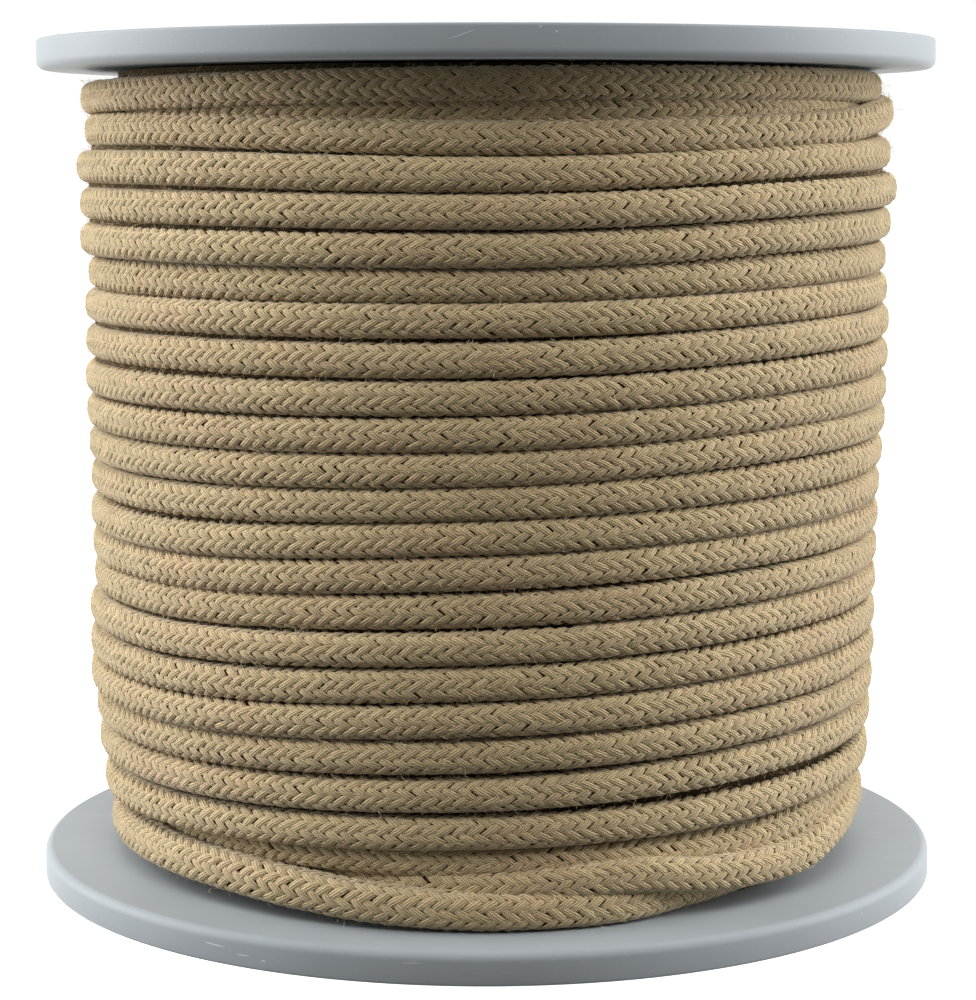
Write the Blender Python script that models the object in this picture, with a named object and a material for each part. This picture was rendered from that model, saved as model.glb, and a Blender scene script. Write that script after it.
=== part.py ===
"""Braided rope wound on a plain plastic spool.

Metres, +Z up. The origin is the centre of the bottom flange's outer face, the spool's axis
is Z and the front of the winding looks along -Y. Angles round the spool are in degrees from
the front, growing to the right (towards +X), and the rope climbs with the angle.

Sub-parts, one object each:
  spool_flange_bottom  turned disc with a rounded rim, a bore and a locating ring
  spool_flange_top     the same disc the other way up
  spool_barrel         tube that the rope is wound on, held between the two flanges
  rope_winding         the wound rope as one solid, its outer turns raised as rounded ridges
"""
import math

import bmesh
import bpy

MM = 0.001

# Spool
FLANGE_RADIUS = 80.0 * MM
FLANGE_THICKNESS = 5.3 * MM
SPOOL_HEIGHT = 148.5 * MM
INNER_RIM_FILLET = 1.8 * MM
OUTER_RIM_FILLET = 0.5 * MM
BORE_RADIUS = 16.0 * MM
BORE_FILLET = 0.8 * MM
BARREL_RADIUS = 30.0 * MM
BARREL_WALL = 3.0 * MM
RING_HEIGHT = 4.0 * MM
RING_WALL = 2.5 * MM
GAP = 0.3 * MM

# Rope
ROPE_RADIUS = 3.0 * MM
SLACK_ROPE_RADIUS = 3.3 * MM
VALLEY_DEPTH = 2.8 * MM
VALLEY_REACH = 4.5 * MM
UNDER_LAYER_RADIUS = 64.5 * MM

# Mesh density and shading
FLANGE_STEPS = 64
SMALL_FILLET_STEPS = 2
RIM_FILLET_STEPS = 4
BARREL_STEPS = 48
WINDING_COLUMNS = 48
ROWS_PER_TURN = 4
SHARP_EDGE = math.radians(50.0)

# The outer layer, one row for each full turn, bottom to top, in millimetres: the height of
# the rope's centre 55 degrees left of the front, at the front and 55 degrees right of it,
# then the winding's radius over that turn on its left side and on its right side.
TURN_ANGLES = (-55.0, 0.0, 55.0)
TURNS = (
    (18.8, 21.1, 22.4, 68.5, 69.0),
    (25.4, 27.4, 29.6, 69.2, 69.4),
    (31.3, 33.7, 35.5, 69.8, 69.7),
    (36.9, 39.6, 41.3, 71.0, 69.9),
    (42.5, 45.4, 47.1, 71.0, 70.0),
    (48.6, 51.2, 53.0, 71.0, 70.2),
    (54.7, 57.1, 58.8, 69.9, 70.4),
    (60.0, 63.1, 64.6, 70.4, 70.6),
    (65.7, 68.7, 70.2, 71.0, 70.8),
    (72.0, 74.2, 76.0, 71.2, 71.0),
    (77.9, 79.6, 81.8, 71.5, 71.2),
    (83.8, 85.2, 87.2, 71.8, 71.4),
    (89.8, 90.9, 92.9, 72.0, 71.6),
    (96.2, 96.8, 98.8, 71.8, 71.8),
    (102.5, 103.0, 104.5, 71.9, 72.0),
    (108.2, 108.5, 110.1, 71.3, 71.6),
    (114.0, 114.0, 116.0, 72.3, 72.5),
    (120.3, 120.0, 121.9, 72.6, 73.6),
    (126.7, 125.8, 128.2, 73.2, 72.4),
    (133.1, 131.5, 133.3, 71.6, 72.8),
    (139.0, 139.9, 140.3, 72.4, 71.0),
)

# Where the outer layer starts below its first full turn, and where it ends above the last:
# angle from the front of the first or last turn, height and radius in millimetres.
LAYER_START = (
    (-400.0, 11.6, 62.0),
    (-375.0, 11.6, 66.0),
    (-360.0, 11.8, 68.4),
    (-340.0, 13.2, 70.0),
    (-327.0, 11.8, 70.8),
    (-312.0, 11.3, 70.8),
    (-300.0, 13.0, 69.8),
    (-284.0, 14.6, 68.2),
    (-180.0, 15.2, 68.6),
    (-120.0, 16.5, 68.8),
)
LAST_RISE = (-275.0, 136.3, 72.8)
LAYER_END = (
    (90.0, 140.3, 70.5),
    (150.0, 139.8, 66.0),
    (180.0, 139.5, 62.0),
)

# Strands that lie across or under the outer layer, with the same three columns. The slack
# one lies on the flange behind and crosses the bottom left, and the other two show in the
# widest grooves.
SLACK_STRAND = (
    (-290.0, 8.6, 62.0),
    (-260.0, 8.7, 66.0),
    (-180.0, 8.8, 68.3),
    (-120.0, 9.4, 68.4),
    (-90.0, 10.4, 67.8),
    (-57.0, 10.9, 69.6),
    (-41.0, 10.9, 70.4),
    (-28.0, 10.4, 70.8),
    (-17.0, 9.4, 70.8),
    (0.0, 8.6, 70.6),
    (18.0, 8.5, 69.4),
    (30.0, 8.5, 66.8),
    (45.0, 8.5, 64.8),
    (100.0, 8.5, 63.0),
)
LOWER_GROOVE_STRAND = (
    (-75.0, 16.0, 64.0),
    (-45.0, 16.1, 66.8),
    (0.0, 16.3, 67.3),
    (40.0, 16.9, 67.3),
    (60.0, 18.0, 66.8),
    (90.0, 18.7, 66.4),
    (180.0, 19.6, 66.3),
    (230.0, 21.0, 64.0),
)
UPPER_GROOVE_STRAND = (
    (-80.0, 136.0, 66.0),
    (-50.0, 135.8, 69.0),
    (0.0, 135.6, 70.2),
    (40.0, 135.6, 70.4),
    (65.0, 136.6, 69.0),
    (90.0, 138.0, 66.0),
)

# The mesh rows below the first turn and above the last, which follow no rope: the height of
# a row's middle at the same three angles.
ROW_TURNS_BELOW = ((-1.2, 0.0, 0.4), (2.6, 3.8, 4.2), (6.4, 7.8, 8.4), (10.4, 12.0, 12.8), (14.6, 16.5, 17.6))
ROW_TURNS_ABOVE = ((145.0, 146.0, 146.4), (151.0, 152.0, 152.4))


def clear_scene():
    for item in list(bpy.data.objects):
        bpy.data.objects.remove(item, do_unlink=True)


def plain_material(name, colour, roughness):
    material = bpy.data.materials.new(name)
    material.use_nodes = True
    shader = material.node_tree.nodes["Principled BSDF"]
    shader.inputs["Base Color"].default_value = (*colour, 1.0)
    shader.inputs["Roughness"].default_value = roughness
    shader.inputs["Metallic"].default_value = 0.0
    material.diffuse_color = (*colour, 1.0)
    return material


def mesh_object(name, shape, material):
    """A smooth-shaded object made from a bmesh, with its sharp edges kept."""
    bmesh.ops.recalc_face_normals(shape, faces=shape.faces)
    mesh = bpy.data.meshes.new(name)
    shape.to_mesh(mesh)
    shape.free()
    mesh.materials.append(material)
    mesh.shade_smooth()
    mesh.set_sharp_from_angle(angle=SHARP_EDGE)
    item = bpy.data.objects.new(name, mesh)
    bpy.context.scene.collection.objects.link(item)
    return item


def fillet(corner, towards, size, start_degrees, steps):
    """Points of a quarter circle in a corner of a turned profile, towards the side given."""
    centre_radius = corner[0] + size * towards[0]
    centre_height = corner[1] + size * towards[1]
    points = []
    for step in range(steps + 1):
        angle = math.radians(start_degrees + 90.0 * step / steps)
        points.append((centre_radius + size * math.cos(angle), centre_height + size * math.sin(angle)))
    return points


def turned_object(name, profile, steps, material):
    """A closed profile of (radius, height) points turned round the Z axis."""
    shape = bmesh.new()
    rings = []
    for step in range(steps):
        angle = 2.0 * math.pi * step / steps
        ring = [shape.verts.new((r * math.sin(angle), -r * math.cos(angle), z)) for r, z in profile]
        rings.append(ring)
    count = len(profile)
    for step in range(steps):
        ring, following = rings[step], rings[(step + 1) % steps]
        for index in range(count):
            after = (index + 1) % count
            shape.faces.new((ring[index], following[index], following[after], ring[after]))
    return mesh_object(name, shape, material)


def flange_profile():
    """The flange with its outer face at height 0 and its locating ring pointing up."""
    ring_outside = BARREL_RADIUS - BARREL_WALL - GAP
    ring_inside = ring_outside - RING_WALL
    ring_top = FLANGE_THICKNESS + RING_HEIGHT
    profile = fillet((BORE_RADIUS, 0.0), (1.0, 1.0), BORE_FILLET, 180.0, SMALL_FILLET_STEPS)
    profile += fillet((FLANGE_RADIUS, 0.0), (-1.0, 1.0), OUTER_RIM_FILLET, 270.0, SMALL_FILLET_STEPS)
    profile += fillet((FLANGE_RADIUS, FLANGE_THICKNESS), (-1.0, -1.0), INNER_RIM_FILLET, 0.0, RIM_FILLET_STEPS)
    profile += [(ring_outside, FLANGE_THICKNESS), (ring_outside, ring_top)]
    profile += [(ring_inside, ring_top), (ring_inside, FLANGE_THICKNESS)]
    profile += [(BORE_RADIUS, FLANGE_THICKNESS)]
    return profile


def flanges(material):
    lower = flange_profile()
    upper = [(r, SPOOL_HEIGHT - z) for r, z in reversed(lower)]
    turned_object("spool_flange_bottom", lower, FLANGE_STEPS, material)
    turned_object("spool_flange_top", upper, FLANGE_STEPS, material)


def barrel(material):
    low = FLANGE_THICKNESS + GAP
    high = SPOOL_HEIGHT - low
    inside = BARREL_RADIUS - BARREL_WALL
    profile = [(inside, low), (BARREL_RADIUS, low), (BARREL_RADIUS, high), (inside, high)]
    turned_object("spool_barrel", profile, BARREL_STEPS, material)


def smooth_between(knots, angle, column):
    """A column of a knot table at an angle: cubic between its rows, without overshoot."""
    if angle <= knots[0][0]:
        return knots[0][column]
    if angle >= knots[-1][0]:
        return knots[-1][column]
    index = next(i for i in range(len(knots) - 1) if angle <= knots[i + 1][0])
    left, right = knots[index], knots[index + 1]
    width = right[0] - left[0]
    slope_left = knot_slope(knots, index, column)
    slope_right = knot_slope(knots, index + 1, column)
    t = (angle - left[0]) / width
    value = left[column] * (1.0 + 2.0 * t) * (1.0 - t) ** 2 + right[column] * t * t * (3.0 - 2.0 * t)
    return value + width * (slope_left * t * (1.0 - t) ** 2 - slope_right * t * t * (1.0 - t))


def knot_slope(knots, index, column):
    if index in (0, len(knots) - 1):
        return 0.0
    before, here, after = knots[index - 1], knots[index], knots[index + 1]
    rate_before = (here[column] - before[column]) / (here[0] - before[0])
    rate_after = (after[column] - here[column]) / (after[0] - here[0])
    if rate_before * rate_after <= 0.0:
        return 0.0
    return 2.0 * rate_before * rate_after / (rate_before + rate_after)


def outer_layer():
    """Knots (angle, height, radius) of the outer layer from its start to its tucked-in end."""
    knots = list(LAYER_START)
    last = len(TURNS) - 1
    for turn, row in enumerate(TURNS):
        heights, radius_left, radius_right = row[:3], row[3], row[4]
        for angle, height in zip(TURN_ANGLES, heights):
            share = 0.5 + 0.5 * math.sin(math.radians(angle))
            radius = radius_left + (radius_right - radius_left) * share
            knots.append((360.0 * turn + angle, height, radius))
        if turn == last - 1:
            knots.append((360.0 * last + LAST_RISE[0], *LAST_RISE[1:]))
    knots += [(360.0 * last + angle, height, radius) for angle, height, radius in LAYER_END]
    return knots


def strands():
    """Every strand that shapes the winding: its knots and its rope radius."""
    return (
        (outer_layer(), ROPE_RADIUS),
        (SLACK_STRAND, SLACK_ROPE_RADIUS),
        (LOWER_GROOVE_STRAND, ROPE_RADIUS),
        (UPPER_GROOVE_STRAND, ROPE_RADIUS),
    )


def passes_at(angle, all_strands):
    """Height, outermost radius and rope radius of each strand where it passes an angle."""
    passes = []
    for knots, rope_radius in all_strands:
        turn = math.ceil((knots[0][0] - angle) / 360.0)
        while angle + 360.0 * turn <= knots[-1][0]:
            place = angle + 360.0 * turn
            height = smooth_between(knots, place, 1) * MM
            radius = smooth_between(knots, place, 2) * MM
            passes.append((height, radius, rope_radius))
            turn += 1
    return passes


def winding_radius(height, passes):
    """The winding's radius at a height: the outermost rope there, or the valley beside it."""
    radius = UNDER_LAYER_RADIUS
    for centre, outermost, rope_radius in passes:
        distance = abs(height - centre)
        if distance < VALLEY_REACH:
            radius = max(radius, outermost - VALLEY_DEPTH)
        if distance < rope_radius:
            radius = max(radius, outermost - rope_radius + math.sqrt(rope_radius ** 2 - distance ** 2))
    return radius


def row_knots():
    """Knots (angle, height) of the line that the mesh rows follow, a turn of it for each turn."""
    turns = ROW_TURNS_BELOW + tuple(row[:3] for row in TURNS) + ROW_TURNS_ABOVE
    knots = []
    for turn, heights in enumerate(turns):
        knots += [(360.0 * turn + angle, height) for angle, height in zip(TURN_ANGLES, heights)]
    return knots, len(turns)


def row_height(row, angle, knots):
    """Rows run along the grooves, the ropes' middles and half-way between."""
    turn, part = divmod(row, ROWS_PER_TURN)
    place = angle + 360.0 * (turn + 1)
    below, here, above = (smooth_between(knots, place + 360.0 * step, 1) for step in (-1, 0, 1))
    groove_below = (below + here) / 2.0
    groove_above = (here + above) / 2.0
    return (groove_below + (groove_above - groove_below) * part / ROWS_PER_TURN) * MM


def winding_column(shape, angle, row_count, knots, all_strands):
    """One column's points: its rows, the lowest and highest level ones and the two inner ones."""
    low = FLANGE_THICKNESS + GAP
    high = SPOOL_HEIGHT - low
    inside = BARREL_RADIUS + GAP
    across, along = math.sin(math.radians(angle)), -math.cos(math.radians(angle))
    passes = passes_at(angle, all_strands)

    def point(radius, height):
        return shape.verts.new((radius * across, radius * along, height))

    bottom = point(winding_radius(low, passes), low)
    top = point(winding_radius(high, passes), high)
    rows = []
    for row in range(row_count):
        height = row_height(row, angle, knots)
        if height <= low:
            rows.append(bottom)
        elif height >= high:
            rows.append(top)
        else:
            rows.append(point(winding_radius(height, passes), height))
    return rows, bottom, top, point(inside, low), point(inside, high)


def winding(material):
    """The wound rope: rows that climb with the turns, cut level at both flanges."""
    all_strands = strands()
    knots, turn_count = row_knots()
    row_count = ROWS_PER_TURN * (turn_count - 2)
    shape = bmesh.new()
    columns = []
    for column in range(WINDING_COLUMNS):
        angle = 360.0 * column / WINDING_COLUMNS - 180.0
        columns.append(winding_column(shape, angle, row_count, knots, all_strands))
    for column in range(WINDING_COLUMNS):
        rows, bottom, top, inner_low, inner_high = columns[column]
        after = columns[(column + 1) % WINDING_COLUMNS]
        rows_after, bottom_after, top_after, inner_low_after, inner_high_after = after
        shift = ROWS_PER_TURN if column == WINDING_COLUMNS - 1 else 0
        for row in range(row_count - 1):
            right = rows_after[min(row + shift, row_count - 1)]
            right_above = rows_after[min(row + shift + 1, row_count - 1)]
            corners = []
            for corner in (rows[row], right, right_above, rows[row + 1]):
                if corner not in corners:
                    corners.append(corner)
            if len(corners) > 2:
                shape.faces.new(corners)
        shape.faces.new((bottom, inner_low, inner_low_after, bottom_after))
        shape.faces.new((inner_high, top, top_after, inner_high_after))
        shape.faces.new((inner_low, inner_high, inner_high_after, inner_low_after))
    bmesh.ops.triangulate(shape, faces=shape.faces, quad_method="SHORT_EDGE")
    mesh_object("rope_winding", shape, material)


def main():
    clear_scene()
    grey_plastic = plain_material("grey_plastic", (0.30, 0.33, 0.36), 0.4)
    tan_rope = plain_material("tan_rope", (0.42, 0.33, 0.20), 0.95)
    flanges(grey_plastic)
    barrel(grey_plastic)
    winding(tan_rope)


main()
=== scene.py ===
"""Dresses a spool of braided rope: every float of the braid on the outer turns, the fuzz on
them, the strands that show in the grooves, and the moulded spool."""
import math

import bpy
import numpy as np
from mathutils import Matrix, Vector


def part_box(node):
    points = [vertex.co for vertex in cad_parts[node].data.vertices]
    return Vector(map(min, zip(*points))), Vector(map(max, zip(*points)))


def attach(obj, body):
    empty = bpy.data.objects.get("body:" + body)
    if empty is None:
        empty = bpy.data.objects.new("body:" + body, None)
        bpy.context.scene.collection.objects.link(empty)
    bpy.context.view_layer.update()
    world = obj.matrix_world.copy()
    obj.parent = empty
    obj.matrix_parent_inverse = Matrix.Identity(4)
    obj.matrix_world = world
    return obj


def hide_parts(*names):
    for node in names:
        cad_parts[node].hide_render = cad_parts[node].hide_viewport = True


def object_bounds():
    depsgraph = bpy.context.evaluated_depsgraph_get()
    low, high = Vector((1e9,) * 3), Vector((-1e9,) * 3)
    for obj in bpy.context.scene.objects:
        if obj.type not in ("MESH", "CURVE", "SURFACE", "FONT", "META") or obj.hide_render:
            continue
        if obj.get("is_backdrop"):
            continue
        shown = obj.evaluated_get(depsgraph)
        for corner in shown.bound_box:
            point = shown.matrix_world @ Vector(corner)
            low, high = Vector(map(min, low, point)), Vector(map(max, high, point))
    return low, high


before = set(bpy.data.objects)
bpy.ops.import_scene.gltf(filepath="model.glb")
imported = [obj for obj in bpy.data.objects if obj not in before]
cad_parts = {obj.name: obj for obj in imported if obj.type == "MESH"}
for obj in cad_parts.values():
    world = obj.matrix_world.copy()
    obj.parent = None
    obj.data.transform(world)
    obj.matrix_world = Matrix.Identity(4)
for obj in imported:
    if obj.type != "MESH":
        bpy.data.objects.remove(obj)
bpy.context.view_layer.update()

bl_info = {
    "name": "Braided rope spool",
    "version": (1, 0, 0),
    "blender": (4, 5, 0),
    "location": "3D View > Sidebar > Rope spool",
    "description": "Dresses a spool of braided rope around its fixed solids",
    "category": "Object",
}

MM = 0.001
BODY = "root"
WINDING_NODE = "rope_winding"

# The photograph's camera: focal length and principal point in pixels of its 976 x 1000 frame,
# and its place in front of the spool.
PHOTO_WIDTH = 976.0
PHOTO_HEIGHT = 1000.0
FOCAL_PIXELS = 2735.0
PRINCIPAL_X = 485.9
PRINCIPAL_Y = 328.6
CAMERA_DISTANCE = 0.495
CAMERA_HEIGHT = 0.1304
CAMERA_PITCH = math.radians(3.9)
CAMERA_ROLL = math.radians(0.07)
SENSOR_SIZE = 36.0

# The outer layer, one row for each full turn, bottom to top, in millimetres: the height of
# the rope's centre 55 degrees left of the front, at the front and 55 degrees right of it,
# then the winding's radius over that turn on its left side and on its right side.
TURN_ANGLES = (-55.0, 0.0, 55.0)
TURNS = (
    (18.8, 21.1, 22.4, 69.5, 69.0),
    (25.4, 27.4, 29.6, 70.2, 69.4),
    (31.3, 33.7, 35.5, 70.7, 69.7),
    (36.9, 39.6, 41.3, 71.8, 69.9),
    (42.5, 45.4, 47.1, 71.8, 70.0),
    (48.6, 51.2, 53.0, 71.8, 70.2),
    (54.7, 57.1, 58.8, 70.8, 70.4),
    (60.0, 63.1, 64.6, 71.1, 70.6),
    (65.7, 68.7, 70.2, 71.4, 70.8),
    (72.0, 74.2, 76.0, 71.2, 71.3),
    (77.9, 79.6, 81.8, 71.5, 71.8),
    (83.8, 85.2, 87.2, 71.8, 72.0),
    (89.8, 90.9, 92.9, 72.0, 72.2),
    (96.2, 96.8, 98.8, 71.8, 72.4),
    (102.5, 103.0, 104.5, 71.9, 72.0),
    (108.2, 108.5, 110.1, 71.3, 71.6),
    (114.0, 114.0, 116.0, 72.8, 72.5),
    (120.3, 120.0, 121.9, 72.6, 73.6),
    (126.7, 125.8, 128.2, 73.2, 72.4),
    (133.1, 131.5, 133.3, 71.6, 72.8),
    (139.0, 139.9, 140.3, 72.4, 71.0),
)

# Where the outer layer starts below its first full turn, and where it ends above the last:
# angle from the front of the first or last turn, height and radius in millimetres.
LAYER_START = (
    (-400.0, 11.6, 62.0),
    (-375.0, 11.6, 66.0),
    (-360.0, 11.8, 68.4),
    (-340.0, 13.2, 70.0),
    (-327.0, 11.8, 70.8),
    (-312.0, 11.3, 70.8),
    (-300.0, 13.0, 69.8),
    (-284.0, 14.6, 68.2),
    (-180.0, 15.2, 68.6),
    (-120.0, 16.5, 68.8),
)
LAST_RISE = (-275.0, 136.3, 72.8)
LAYER_END = (
    (90.0, 140.3, 70.5),
    (150.0, 139.8, 66.0),
    (180.0, 139.5, 62.0),
)

# Strands that lie across or under the outer layer, with the same three columns. The slack
# one lies on the flange behind and crosses the bottom left, and the other two show in the
# widest grooves.
SLACK_STRAND = (
    (-290.0, 8.6, 62.0),
    (-260.0, 8.7, 66.0),
    (-180.0, 8.8, 68.3),
    (-120.0, 9.4, 68.4),
    (-90.0, 10.4, 67.8),
    (-57.0, 11.3, 69.6),
    (-41.0, 11.2, 70.4),
    (-28.0, 10.4, 70.8),
    (-17.0, 9.4, 70.8),
    (0.0, 8.6, 70.6),
    (18.0, 8.5, 69.2),
    (30.0, 8.5, 65.6),
    (45.0, 8.5, 62.8),
    (100.0, 8.5, 61.0),
)
LOWER_GROOVE_STRAND = (
    (-75.0, 16.2, 62.5),
    (-50.0, 15.7, 65.2),
    (-38.0, 15.7, 66.0),
    (-20.0, 16.0, 67.0),
    (0.0, 15.9, 67.4),
    (40.0, 15.6, 67.6),
    (60.0, 16.9, 67.3),
    (90.0, 18.0, 67.0),
    (180.0, 19.6, 66.3),
    (230.0, 21.0, 64.0),
)
UPPER_GROOVE_STRAND = (
    (-80.0, 136.0, 66.0),
    (-50.0, 135.8, 69.0),
    (0.0, 135.6, 70.2),
    (40.0, 135.6, 70.4),
    (65.0, 136.6, 69.0),
    (90.0, 138.0, 66.0),
)

# The turns stand at this share of their traced heights, as the fitted camera shows them, and
# each is drawn at this share of its height, which leaves a slit between it and the next, dark
# with real shade and with the painted shade of the layer beneath.
TRACED_HEIGHT_SHARE = 0.9968
FLATTENED_SHARE = 0.962

# The braid turns a little about its own middle on its way: by this many radians, in two waves
# whose lengths are given in metres for one radian of the wave.
LONG_TWIST = 0.5
LONG_TWIST_LENGTH = 0.31
SHORT_TWIST = 0.22
SHORT_TWIST_LENGTH = 0.083

# How far on each strand's yarn lines start from those of the last, in widths of a float.
STRAND_SHIFT = 3.7
# Fuzz stands off in three bands along a strand: the middle of what shows and a share of the arc
# up and down from it, each spread by some radians.
FUZZ_BANDS = (-1.0, 0.0, 1.0)
FUZZ_BAND_SHARES = (0.4, 0.2, 0.4)
FUZZ_BAND_ARC = 0.68
FUZZ_SPREAD = 0.3

# A float's mesh: where its rows lie along it, in units of half the part that shows, how far
# each row sinks, how wide it is, and where its points lie across it.
FLOAT_ROWS = (
    # along  sink_mm width
    (-1.28, 0.34, 0.78),
    (-0.92, 0.11, 0.96),
    (-0.34, 0.00, 1.00),
    (0.34, 0.00, 1.00),
    (0.92, 0.11, 0.96),
    (1.28, 0.34, 0.78),
)
FLOAT_COLUMNS = (-1.0, -0.42, 0.42, 1.0)
FLOATS_PER_PIECE = 6400

# Small marks on the rims: the angle, and the height over the floor in millimetres, where each
# begins and ends, and its width.
RIM_MARKS = (
    # from_deg  mm     to_deg  mm     width_mm
    (-3.96, 146.0, -1.12, 147.4, 0.14),
    (7.55, 147.1, 7.85, 147.15, 0.26),
    (5.75, 147.85, 6.1, 147.9, 0.3),
    (-34.2, 3.1, -31.4, 2.9, 0.2),
    (-29.7, 2.1, -28.0, 2.15, 0.16),
    (-26.4, 1.7, -25.8, 1.75, 0.22),
    (-9.6, 3.55, -7.15, 3.6, 0.14),
)

SEED = 11


def linear(hex_colour):
    """A linear colour from an sRGB hex value."""
    channels = [int(hex_colour[i:i + 2], 16) / 255.0 for i in (1, 3, 5)]
    return tuple(c / 12.92 if c <= 0.04045 else ((c + 0.055) / 1.055) ** 2.4 for c in channels)


def colour_setting(name, description, hex_colour):
    return bpy.props.FloatVectorProperty(
        name=name, description=description, default=linear(hex_colour), size=3, min=0.0, max=1.0,
        subtype="COLOR")


def length_setting(name, description, default):
    return bpy.props.FloatProperty(
        name=name, description=description, default=default, min=0.0, unit="LENGTH",
        subtype="DISTANCE", precision=5)


class RopeSettings(bpy.types.PropertyGroup):
    """Sizes and colours of the braided rope."""

    rope_radius: length_setting("Rope radius", "Half the rope's thickness over its floats", 3.0 * MM)
    slack_radius: length_setting("Slack rope radius", "Half the thickness of the loose strand", 3.3 * MM)
    wales: bpy.props.IntProperty(
        name="Wales", description="Lines of floats round the rope, half the number of its strands",
        default=12, min=4, max=24)
    float_spacing: length_setting(
        "Float spacing", "Distance from one float to the next in a wale", 2.35 * MM)
    float_height: length_setting("Float height", "How far a float stands over its own edges", 0.2 * MM)
    hair_length: length_setting("Fuzz length", "Mean length of a fibre that stands off the yarn", 1.35 * MM)
    hair_width: length_setting("Fuzz width", "Width of such a fibre at its middle", 0.075 * MM)
    hairs_per_metre: bpy.props.IntProperty(
        name="Fuzz per metre", description="Fibres on each metre of rope that shows", default=5600,
        min=0, max=20000)
    yarn_colour: colour_setting("Yarn", "Colour of the dyed yarn", "#c0aa80")
    warm_colour: colour_setting("Warm yarn", "Colour of the yarn's warmer patches", "#c4a37d")
    # Painted shade: the colour given to the floats' sunk edges and ends and to the gaps under them
    painted_shade_colour: colour_setting("Painted shade on the yarn", "Colour between and under the floats", "#7f6b4c")
    hair_colour: colour_setting("Fuzz", "Colour of the fibres that stand off", "#d8c6a0")


class SpoolSettings(bpy.types.PropertyGroup):
    """Sizes and colours of the moulded spool."""

    rim_fillet: length_setting("Rim fillet", "Rounding of the rim on the rope's side", 1.5 * MM)
    outer_fillet: length_setting("Outer fillet", "Rounding of the rim on the outer face", 0.5 * MM)
    bore_radius: length_setting("Bore radius", "Radius of the arbor hole", 16.0 * MM)
    ring_outside: length_setting("Ring radius", "Outside radius of the locating ring", 26.7 * MM)
    ring_wall: length_setting("Ring wall", "Thickness of the locating ring", 2.5 * MM)
    plastic_colour: colour_setting("Plastic", "Colour of the grey plastic", "#8f9599")
    scuff_colour: colour_setting("Scuffs", "Colour of scuffed plastic", "#c3c8cb")


class StageSettings(bpy.types.PropertyGroup):
    """The plain studio."""

    floor_colour: colour_setting("Floor", "Colour of the floor and backdrop", "#f4f4f4")
    left_power: bpy.props.FloatProperty(
        name="Left light", description="Power of the left light", default=13.0, min=0.0, unit="POWER")
    right_power: bpy.props.FloatProperty(
        name="Right light", description="Power of the right light", default=11.3, min=0.0, unit="POWER")
    top_power: bpy.props.FloatProperty(
        name="High front light", description="Power of the high front light", default=8.6,
        min=0.0, unit="POWER")
    behind_strength: bpy.props.FloatProperty(
        name="Backdrop", description="Brightness of the surroundings behind the spool", default=1.05,
        min=0.0)
    before_strength: bpy.props.FloatProperty(
        name="Room", description="Brightness of the surroundings before the spool", default=0.11, min=0.0)
    floor_glow: bpy.props.FloatProperty(
        name="Floor glow", description="Light that the lit table shows by itself", default=0.8, min=0.0)


def smooth_table(knots, angles):
    """Height and radius of a knot table at many angles: cubic between its rows, no overshoot."""
    table = np.array(knots)
    at, values = table[:, 0], table[:, 1:]
    widths = np.diff(at)[:, None]
    rates = np.diff(values, axis=0) / widths
    slopes = np.zeros_like(values)
    before, after = rates[:-1], rates[1:]
    same_way = before * after > 0.0
    total = np.where(same_way, before + after, 1.0)
    slopes[1:-1] = np.where(same_way, 2.0 * before * after / total, 0.0)
    index = np.clip(np.searchsorted(at, angles, side="right") - 1, 0, len(at) - 2)
    width = widths[index]
    t = ((angles - at[index])[:, None] / width).clip(0.0, 1.0)
    blend = values[index] * (1.0 + 2.0 * t) * (1.0 - t) ** 2 + values[index + 1] * t * t * (3.0 - 2.0 * t)
    return blend + width * (slopes[index] * t * (1.0 - t) ** 2 - slopes[index + 1] * t * t * (1.0 - t))


def outer_layer_knots():
    """Knots (angle, height, radius) of the outer layer from its start to its tucked-in end."""
    knots = list(LAYER_START)
    last = len(TURNS) - 1
    for turn, row in enumerate(TURNS):
        radius_left, radius_right = row[3], row[4]
        for angle, height in zip(TURN_ANGLES, row[:3]):
            share = 0.5 + 0.5 * math.sin(math.radians(angle))
            knots.append((360.0 * turn + angle, height, radius_left + (radius_right - radius_left) * share))
        if turn == last - 1:
            knots.append((360.0 * last + LAST_RISE[0], *LAST_RISE[1:]))
    knots += [(360.0 * last + angle, height, radius) for angle, height, radius in LAYER_END]
    return knots


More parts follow.
